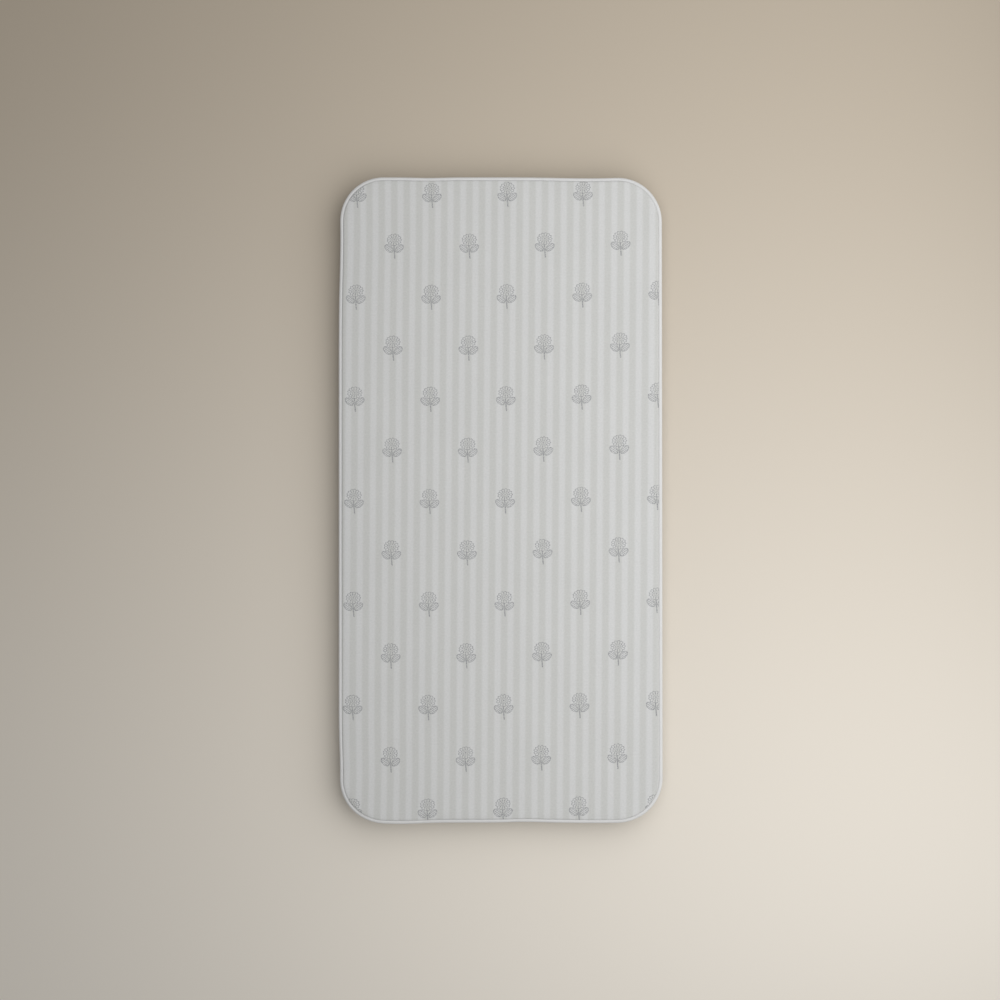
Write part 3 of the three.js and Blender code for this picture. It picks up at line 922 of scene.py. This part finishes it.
printed_top = panel(
    "printed_top", section_inset[order], section_z[order], top_cotton, cloth_lift, both_flat[order]
)
hand_over(printed_top, "top_cloth")
flat_width = 2 * (half_width - flat_inset[0]) / 1000
flat_length = 2 * (half_length - flat_inset[0]) / 1000
flat_corner = (corner_radius - flat_inset[0]) / 1000
flat_area = flat_width * flat_length - (4 - math.pi) * flat_corner**2
print("top cut to", round(flat_width, 4), "by", round(flat_length, 4), "m")

# %% [markdown]
# ### Foam and felt
#
# The foam fills the cloth's rounded edge, so it is the pad that gives the cover its soft rim. Under it
# lies a thinner felt, which lets the steam spread. Felt is cut with shears, so its edge is square.

# %% Foam and felt layers
SHEARED_EDGE = np.array([0.25, 0.05, 0, 0, 0.05, 0.25])  # insets of the felt's edge from bottom to top


def slow_dents(depth, seed):
    phases = np.random.default_rng(seed).uniform(0, 2 * math.pi, 4)

    def lift(x, y, z):
        dents = sum(
            np.sin(x / (23 + 11 * k) + y / (31 + 7 * k) + phase) for k, phase in enumerate(phases)
        )
        return z - depth * (1 + dents / 4) * (z > z.mean())

    return lift


pad_roll = edge_roll - cloth / 2 - gap
pad_drop = edge_drop - cloth / 2 - gap
below_seam = (seam_height - foam_low) / pad_drop
foam_start = math.pi + math.asin(below_seam ** (1 / SHOULDER))
foam_inset, foam_z = padded_edge(pad_roll, pad_drop, foam_start)
foam_dents = slow_dents(depth=0.12, seed=11)
foam_layer = panel("foam_layer", foam_inset, foam_z, pale_foam, foam_dents)
hand_over(foam_layer, "foam_pad")

felt_inset = half_width - box_mm("felt_pad")[1][0]
felt_z = np.linspace(felt_low, felt_high, len(SHEARED_EDGE))
felt_dents = slow_dents(depth=0.08, seed=12)
felt_layer = panel("felt_layer", felt_inset + SHEARED_EDGE, felt_z, grey_felt, felt_dents)
hand_over(felt_layer, "felt_pad")

# %% [markdown]
# ## Piping
#
# Piping is a bias tape folded round a cord and sewn into the seam, so that only its round edge shows. In
# section the tape makes a letter P. The cord inside is twisted, and its turns press faint lumps into the
# tape, which catch the light along the bright edge.

# %% Piping tape
WRAP_STEPS = 34
TAPE_WRAP_TURN = 10 / 12  # of a full turn
LEG_ROWS = 4  # on each leg of the P
LUMP_PITCH, LUMP_HEIGHT = 6.5, 0.035  # of the lumps that the cord's strands press into the tape
TAPE_WANDER = 0.05

loop_place = places_along(outline_x[0], outline_y[0], closed=True)
loop_length = loop_place[-1]
loop_turns = loop_place[:-1] / loop_length


def closed_tube(name, inset, z, across, material, corner=even_corner, along=loop_place):
    """A ring whose section is a loop of rows. across and along are its places on the flat tape."""
    x, y = plan(stations, signs, inset, corner(inset))
    faces, places = grid_faces(*x.shape, close_rows=True, close_columns=True)
    closed_across = np.append(across, across[0])
    cut = np.stack([along[places[..., 1]], closed_across[places[..., 0]]], -1)
    points = np.stack([x, y, np.broadcast_to(z, x.shape)], -1)
    return make_mesh(name, points, faces, cut, material)


lumps = LUMP_HEIGHT * np.cos(2 * math.pi * round(loop_length / LUMP_PITCH) * loop_turns)
lumps = lumps + TAPE_WANDER * ripple(loop_turns, (23, 37, 61, 83), 8)
wrap_radius = bead_radius - tape / 2
wrap_end = 2 * math.pi * TAPE_WRAP_TURN
wrap_inset, wrap_z = arc(bead_radius, seam_height, wrap_radius, wrap_radius, 0, wrap_end, WRAP_STEPS)
inner_leg = 2 * bead_radius - tape / 2
outer_leg = inner_leg - tape - gap
leg_z = np.linspace(allowance_end, seam_height, LEG_ROWS + 1)[:-1]
back_z = np.linspace(seam_height - bead_radius, allowance_end, LEG_ROWS)
legs = np.ones(LEG_ROWS)
tape_inset = np.concatenate([legs * inner_leg, wrap_inset, legs * outer_leg])
tape_z = np.concatenate([leg_z, wrap_z, back_z])
swell = np.zeros(len(tape_inset))
swell[LEG_ROWS:-LEG_ROWS] = np.sin(np.linspace(0, math.pi, len(wrap_inset))) ** 0.5
tape_insets = tape_inset[:, None] + lumps * ((tape_inset - bead_radius) / bead_radius * swell)[:, None]
tape_heights = tape_z[:, None] + lumps * ((tape_z - seam_height) / bead_radius * swell)[:, None]
tape_place = places_along(tape_inset, tape_z)
both_insets, both_heights = ply_faces(tape_insets, tape_heights, tape)
piping_cover = closed_tube(
    "piping_cover", both_insets, both_heights, np.append(tape_place, tape_place[::-1]), white_tape
)
hand_over(piping_cover, "piping_tape")

# %% [markdown]
# ### Filler cord
#
# Three strands are laid round each other. Their section is a circle with three lobes, which turns once
# every two centimetres along the cord.

# %% Filler cord
CORD_SIDES = 24
STRANDS = 3
CORD_MEAN, STRAND_RISE = 0.9, 0.08  # of the cord's radius
LAY_LENGTH = 20.0  # along the cord for one turn of its strands

cord_turns = round(loop_length / LAY_LENGTH)
angle = np.linspace(0, 2 * math.pi, CORD_SIDES, endpoint=False)[:, None]
lobes = CORD_MEAN + STRAND_RISE * np.cos(STRANDS * angle - 2 * math.pi * cord_turns * loop_turns)
cord_inset = bead_radius + cord_radius * lobes * np.cos(angle)
cord_height = seam_height + cord_radius * lobes * np.sin(angle)
piping_filler = closed_tube(
    "piping_filler", cord_inset, cord_height, angle[:, 0] * cord_radius, cotton_cord
)
hand_over(piping_filler, "piping_cord")

# %% [markdown]
# ## Skirt and gathered hem
#
# The skirt is four strips of the printed cotton, joined on the long sides. Each strip folds over at the
# piping, falls down the board's edge, turns under and ends in a casing for the elastic. The elastic
# pulls the hem shorter than the cloth in it, so the cloth puffs up and down between the stitches. A
# simulation would find its own puffs, but these have to lie where the CAD has them, so a formula places
# the large ones and adds the small ones that a gathered casing always shows.

# %% Gathers
skirt_inner_leg = outer_leg - tape / 2 - gap - cloth / 2
skirt_wall = skirt_inner_leg - cloth - gap
turn_radius = 6.0
turn_end = skirt_wall + turn_radius
hem_fold_centre = 53.5
casing_edge = 42.0
elastic_middle = 48.5
hem_corner = 70.0
side_waves = 11
corner_waves = 2
end_waves = 4
puff_start = 0.12  # of a wave; the puff ends as far before the next one
puff_rise = 0.27
puff_difference = 0.16
FINE_PITCH = 13.0


def part_way(value, start, end):
    """0 up to the start and 1 from the end on, with an even rise between them."""
    return np.clip((value - start) / (end - start), 0, 1)


def soft_step(value):
    value = np.clip(value, 0, 1)
    return value * value * (3 - 2 * value)


def mouth_corner(inset):
    """Corner radius of a ring that keeps an even distance from the elastic."""
    return hem_corner + elastic_middle - inset


def skirt_corner(inset):
    """The corner of a skirt ring goes over from the outline's to the elastic's rounder one."""
    share = part_way(inset, turn_end, casing_edge)
    return even_corner(inset) * (1 - share) + mouth_corner(inset) * share


def fullness(phase):
    """0 in a hollow and about 1 on a puff. Each puff is a little different."""
    wave = np.floor(phase)
    within = phase - wave
    inside = np.minimum(within, 1 - within) - puff_start
    return soft_step(inside / puff_rise) * (1 - puff_difference * np.sin(1.7 * wave) ** 2)


def small_gathers(place, seed):
    """Fine gathers along the elastic, from 0 to 1, and never quite even."""
    drift = np.random.default_rng(seed).uniform(0, 6, 3)
    wander = 1.6 * np.sin(place / 47 + drift[0]) + 0.9 * np.sin(place / 19 + drift[1])
    strength = 0.65 + 0.35 * np.sin(place / 71 + drift[2])
    return strength * (0.5 + 0.5 * np.cos(2 * math.pi * place / FINE_PITCH + wander))


print("skirt wall at inset", round(skirt_wall, 2), "waves:", side_waves, corner_waves, end_waves)

# %% [markdown]
# ### Section of the skirt
#
# The middle line of the skirt runs up its seam allowance, over the fold, down the wall, round the turn,
# inwards under the board, round the fold of the hem and back over the elastic to the edge of the casing.
# Where the cloth puffs, it hangs lower under the elastic and stands higher over it.

# %% Section of the skirt
flange_height = 4.35
hem_fold_radius = 1.15
casing_shoulder = 44.2
puff_depth = 4.5 * 0.95  # a little less than the solid's, because the small gathers add to it
puff_lift = 2.5
shoulder_lift = puff_lift * 0.6
FINE_START, FINE_FULL = 22.0, 40.0  # insets where the small gathers start and where they are full
FINE_DROP = 1.5  # of the small gathers, under the elastic
FINE_RISE = 1.0  # over it
FINE_SHOULDER = 0.8  # beside it, at the shoulder of the casing
FINE_RUFFLE = 0.9  # past it, at the fold of the hem
HANG_CURVE, HANG_EASE = 1.5, 0.1  # how late a puff hangs down, and how much it rises again at the hem
FLOOR_GAP = 0.02
ALLOWANCE_ROWS, WALL_ROWS, CASING_ROWS, UNDERSIDE_ROWS = 4, 5, 8, 26
FOLD_STEPS, TURN_STEPS, HEM_STEPS = 8, 10, 10
TUCK_SHARES = (0.3, 0.6, 1.0)


def underside_height(inset, full, fine):
    """Middle of the cloth that lies under the board, at insets from the turn to the hem's fold."""
    share = part_way(inset, turn_end, casing_edge) ** HANG_CURVE
    share = share - HANG_EASE * part_way(inset, casing_edge, hem_fold_centre)
    fine_share = soft_step(part_way(inset, FINE_START, FINE_FULL))
    height = flange_height - puff_depth * share * full - FINE_DROP * fine_share * fine
    return np.maximum(height, cloth / 2 + FLOOR_GAP)


def skirt_section(full, fine):
    """Insets and heights of the middle line at every station, row by row."""
    fold_radius = (gap + cloth) / 2
    fold_height = seam_height - bead_radius - gap - cloth / 2 - fold_radius
    turn_height = flange_height + turn_radius
    leg_z = np.linspace(allowance_end, fold_height, ALLOWANCE_ROWS + 1)[:-1]
    wall_z = np.linspace(fold_height, turn_height, WALL_ROWS + 2)[1:-1]
    fixed = [
        (np.full(ALLOWANCE_ROWS, skirt_inner_leg), leg_z),
        arc(skirt_wall + fold_radius, fold_height, fold_radius, fold_radius, 0, math.pi, FOLD_STEPS),
        (np.full(WALL_ROWS, skirt_wall), wall_z),
        arc(turn_end, turn_height, turn_radius, turn_radius, math.pi, 1.5 * math.pi, TURN_STEPS),
    ]
    rows = [(inset, np.full_like(full, z)) for part in fixed for inset, z in zip(*part)]
    for inset in np.linspace(turn_end, hem_fold_centre, UNDERSIDE_ROWS + 1)[1:]:
        rows.append((inset, underside_height(inset, full, fine)))
    low = underside_height(hem_fold_centre, full, fine)
    middle = (elastic_low + elastic_high) / 2
    casing_height = elastic_high + gap + cloth / 2
    high = casing_height + puff_lift * full + FINE_RISE * fine
    for angle in np.linspace(-math.pi / 2, math.pi / 2, HEM_STEPS + 1)[1:]:
        reach = np.where(angle < 0, middle - low, high - middle)
        round_fold = (hem_fold_radius + FINE_RUFFLE * fine) * math.cos(angle)
        rows.append((hem_fold_centre + round_fold, middle + reach * math.sin(angle)))
    shoulder = casing_height + shoulder_lift * full + FINE_SHOULDER * fine
    for share in np.linspace(0, 1, CASING_ROWS + 1)[1:]:
        inset = hem_fold_centre + (casing_shoulder - hem_fold_centre) * share
        rows.append((inset, high + (shoulder - high) * soft_step(share)))
    tuck = underside_height(casing_edge, full, fine) + cloth + gap
    for share in TUCK_SHARES:
        inset = casing_shoulder + (casing_edge - casing_shoulder) * share
        rows.append((inset, shoulder + (tuck - shoulder) * soft_step(share)))
    insets = np.array([np.broadcast_to(inset, full.shape) for inset, _ in rows])
    return insets, np.array([z for _, z in rows])


# %% [markdown]
# ### Stations of the strips
#
# A strip's stations run along one long side, or from one long side round a whole end to the other. Its
# last centimetre at each end is pressed back on itself, which makes the cloth double inside the join.
# Each station also gets a phase, which counts the puffs and hollows up to it.

# %% Stations of the strips
join_allowance = 10.0
tab_waves = 0.25
TAB_STATIONS = 5
STATION_STEP = 2.4
STEP_DOWN = 0.5  # millimetres in which the pressed-back end goes over to single cloth
STEP_SHARE = 0.04  # the same on an end strip, as a share of the way to the corner
CORNER_STATIONS = 44
HALF_END_STATIONS = 44

join_start = join_place - join_gap / 2
join_end = join_place + join_gap / 2


def side_strip():
    """Stations, signs of X, phases and the places of double cloth, along the right side."""
    inner = join_start - join_allowance
    single = inner - STEP_DOWN
    places = np.linspace(-single, single, round(2 * inner / STATION_STEP))
    ends = np.linspace(inner, join_start, TAB_STATIONS)
    y = np.concatenate([-ends[::-1], places, ends])
    rows = np.array([(1, 1, 0, 0, place) for place in y])
    pressed = np.abs(y) >= inner - 1e-6
    return rows, np.ones(len(y)), side_waves * (y + join_start) / (2 * join_start), pressed


def end_strip():
    """The same, round the head end from the right side to the left."""
    tab, rest = np.linspace(0, 1, TAB_STATIONS), np.linspace(STEP_SHARE, 1, TAB_STATIONS)[:-1]
    corner, end = spread(CORNER_STATIONS), spread(HALF_END_STATIONS) / 2
    rows = [(1, 1, 0, 0, join_end + join_allowance * share) for share in tab]
    rows += [(1, 1, share, 0, (join_end + join_allowance) * (1 - share)) for share in rest]
    rows += corner_rows(CORNER_STATIONS, 1)
    rows += [(1 - 2 * share, 0, 1, 1, 0) for share in end]
    legs = ((tab, tab_waves), (rest, tab_waves), (corner, corner_waves), (end, end_waves))
    passed = np.cumsum([0] + [waves for _, waves in legs])
    phases = np.concatenate([start + waves * share for start, (share, waves) in zip(passed, legs)])
    whole = 2 * passed[3] + end_waves
    pressed = np.arange(len(rows)) < TAB_STATIONS
    signs = np.array([1.0] * (len(rows) + 1) + [-1.0] * len(rows))
    rows = rows + [(0, 0, 1, 1, 0)] + rows[::-1]
    phases = np.concatenate([phases, [whole / 2], whole - phases[::-1]])
    return np.array(rows, float), signs, phases, np.concatenate([pressed, [False], pressed[::-1]])


print("stations: side", len(side_strip()[0]), "end", len(end_strip()[0]))

# %% [markdown]
# ### Strips
#
# Each strip is one ply with two faces, closed at its two ends. The strips on the far side and at the foot
# end are the same as the other two, turned by half a turn. But each has small gathers of its own, from
# its own seed, and was cut from its own place on the cloth.

# %% Strips
def strip_plan(strip, inset):
    """Plan position of a strip's stations, for insets that are given row by row."""
    return plan(strip[0], strip[1], inset, skirt_corner(inset))


def rim_places(strip):
    """How far along the skirt's wall each station of a strip lies."""
    x, y = strip_plan(strip, skirt_wall)
    return places_along(x[0], y[0])


def strip_mesh(name, strip, turned_round, seed, cut_at):
    """A strip's closed mesh, and its flat width and length in metres."""
    phase, pressed = strip[2:]
    along = rim_places(strip)
    inset, z = skirt_section(fullness(phase), small_gathers(along, seed))
    doubled = (inset > skirt_wall - 0.01) & (inset < casing_edge - gap) & (z < allowance_end - gap)
    both_inset, both_z = ply_faces(inset, z, cloth, cloth * doubled * pressed)
    both_z = np.maximum(both_z, 0)
    x, y = strip_plan(strip, both_inset)
    if turned_round:
        x, y = -x, -y
    rows, columns = x.shape
    faces, places = grid_faces(rows, columns, close_rows=True)
    across = places_along(inset[:, 0], z[:, 0])
    both_across = np.concatenate([across, across[::-1], across[:1]])
    cut = np.stack([along[places[..., 1]], -both_across[places[..., 0]]], -1)
    near = np.arange(rows // 2 - 1)
    for column, flipped in ((0, False), (columns - 1, True)):
        ends = [near, near + 1, rows - 2 - near, rows - 1 - near]
        quads = np.stack([end * columns + column for end in ends], -1)
        flats = np.stack([np.full(quads.shape, along[column]), -both_across[quads // columns]], -1)
        if flipped:
            quads, flats = quads[:, ::-1], flats[:, ::-1]
        faces, cut = np.concatenate([faces, quads]), np.concatenate([cut, flats])
    piece = make_mesh(name, np.stack([x, y, both_z], -1), faces, cut + cut_at, skirt_cotton)
    return piece, (across[-1] / 1000, along[-1] / 1000)


strips = {
    "side_strip_right": ("skirt_side_right", side_strip(), False, 20, (0, 22)),
    "side_strip_left": ("skirt_side_left", side_strip(), True, 21, (31, 54)),
    "end_strip_head": ("skirt_end_head", end_strip(), False, 22, (12, 60)),
    "end_strip_foot": ("skirt_end_foot", end_strip(), True, 23, (46, 24)),
}
for name, (node, strip, turned_round, seed, cut_at) in strips.items():
    piece, flat = strip_mesh(name, strip, turned_round, seed, cut_at)
    hand_over(piece, node)
    print(name, "cut to", [round(size, 4) for size in flat], "m")

# %% [markdown]
# ## Elastic
#
# A flat woven elastic runs in the casing. It is one closed band, a little thinner between its ribs, and
# it is as long as the hem's mouth is when nothing stretches it.

# %% Elastic
elastic_half = 4.0
RIB_WAVE = 0.08  # half the depth of the grooves between the ribs
RIB_STEPS = 20

across = np.linspace(-elastic_half, elastic_half, RIB_STEPS)
rib = RIB_WAVE * np.cos(2 * math.pi / RIB_PITCH * across) - RIB_WAVE
band_across = np.append(across, across[::-1])
band_z = np.append(elastic_high + rib, elastic_low - rib[::-1])
band_inset = elastic_middle + band_across
x, y = plan(stations, signs, band_inset[0], mouth_corner(band_inset[0]))
mouth_place = places_along(x[0], y[0], closed=True)
hem_band = closed_tube(
    "hem_band", band_inset, band_z[:, None], band_across, elastic_weave, mouth_corner, mouth_place
)
hand_over(hem_band, "hem_elastic")
print("elastic length:", round(mouth_place[-1]), "mm")

# %% [markdown]
# ## Stitches
#
# One row of lockstitch closes the casing. Each stitch is a short thread that dives into the cloth at both
# ends, three millimetres long, with a small pull between it and the next. A texture could fake them, but
# real threads keep their roundness from every side.

# %% Stitches
STITCH_LENGTH = 3.0
STITCH_GAP = 0.7
STITCH_INSET = 43.2
FIRST_STITCH, LAST_STITCH = 1.2, 0.5  # from the two ends of a strip
THREAD_RADIUS = 0.19
THREAD_DIVE = 0.28  # into the cloth, at both ends of a stitch
THREAD_SUNK = 0.06  # between them
THREAD_TIP = 0.35  # of the radius, where the thread dives
THREAD_SIDES = 6
THREAD_SHARES = np.array([0.0, 0.12, 0.35, 0.65, 0.88, 1.0])


def stitch_row(strip, turned_round, seed):
    """Corner points of all the stitches of one strip, as (stitch, ring, side, 3)."""
    x, y = strip_plan(strip, STITCH_INSET)
    fine = small_gathers(rim_places(strip), seed)
    z = underside_height(STITCH_INSET, fullness(strip[2]), fine) - cloth / 2
    along = places_along(x[0], y[0])
    starts = np.arange(FIRST_STITCH, along[-1] - STITCH_LENGTH - LAST_STITCH, STITCH_LENGTH + STITCH_GAP)
    ring = starts[:, None] + STITCH_LENGTH * THREAD_SHARES
    centre = np.stack([np.interp(ring, along, v) for v in (x[0], y[0], z)], -1)
    bulge = np.sqrt(np.clip(4 * THREAD_SHARES * (1 - THREAD_SHARES), 0, 1))
    centre[..., 2] = np.maximum(centre[..., 2] + (THREAD_DIVE * (1 - bulge) + THREAD_SUNK), THREAD_RADIUS)
    forward = np.gradient(centre[..., :2], axis=1)
    forward /= np.linalg.norm(forward, axis=-1, keepdims=True)
    side = np.stack([-forward[..., 1], forward[..., 0], np.zeros(ring.shape)], -1)
    angle = np.linspace(0, 2 * math.pi, THREAD_SIDES, endpoint=False)
    radius = THREAD_RADIUS * (THREAD_TIP + (1 - THREAD_TIP) * bulge)
    offset = side[:, :, None] * np.cos(angle)[:, None] + np.array([0, 0, 1]) * np.sin(angle)[:, None]
    points = centre[:, :, None] + radius[None, :, None, None] * offset
    if turned_round:
        points[..., :2] *= -1
    return points


threads = np.concatenate([stitch_row(*row[1:4]) for row in strips.values()])
rings = len(THREAD_SHARES)
tube, places = grid_faces(rings, THREAD_SIDES, close_columns=True)
caps = np.array([[0, 1, 2, 3], [0, 3, 4, 5]])
caps = np.concatenate([caps[:, ::-1], caps + (rings - 1) * THREAD_SIDES])
one = np.concatenate([tube, caps])
first = np.arange(len(threads))[:, None, None] * rings * THREAD_SIDES
faces = (one + first).reshape(-1, 4)
flat_place = np.concatenate([places, np.zeros((len(caps), 4, 2), int)]).astype(float)
cut = np.broadcast_to(flat_place, (len(threads), *flat_place.shape)).reshape(-1, 4, 2)
hem_stitches = make_mesh("hem_stitches", threads, faces, cut, white_tape, sharp=80)
hand_over(hem_stitches)
print("stitches:", len(threads))
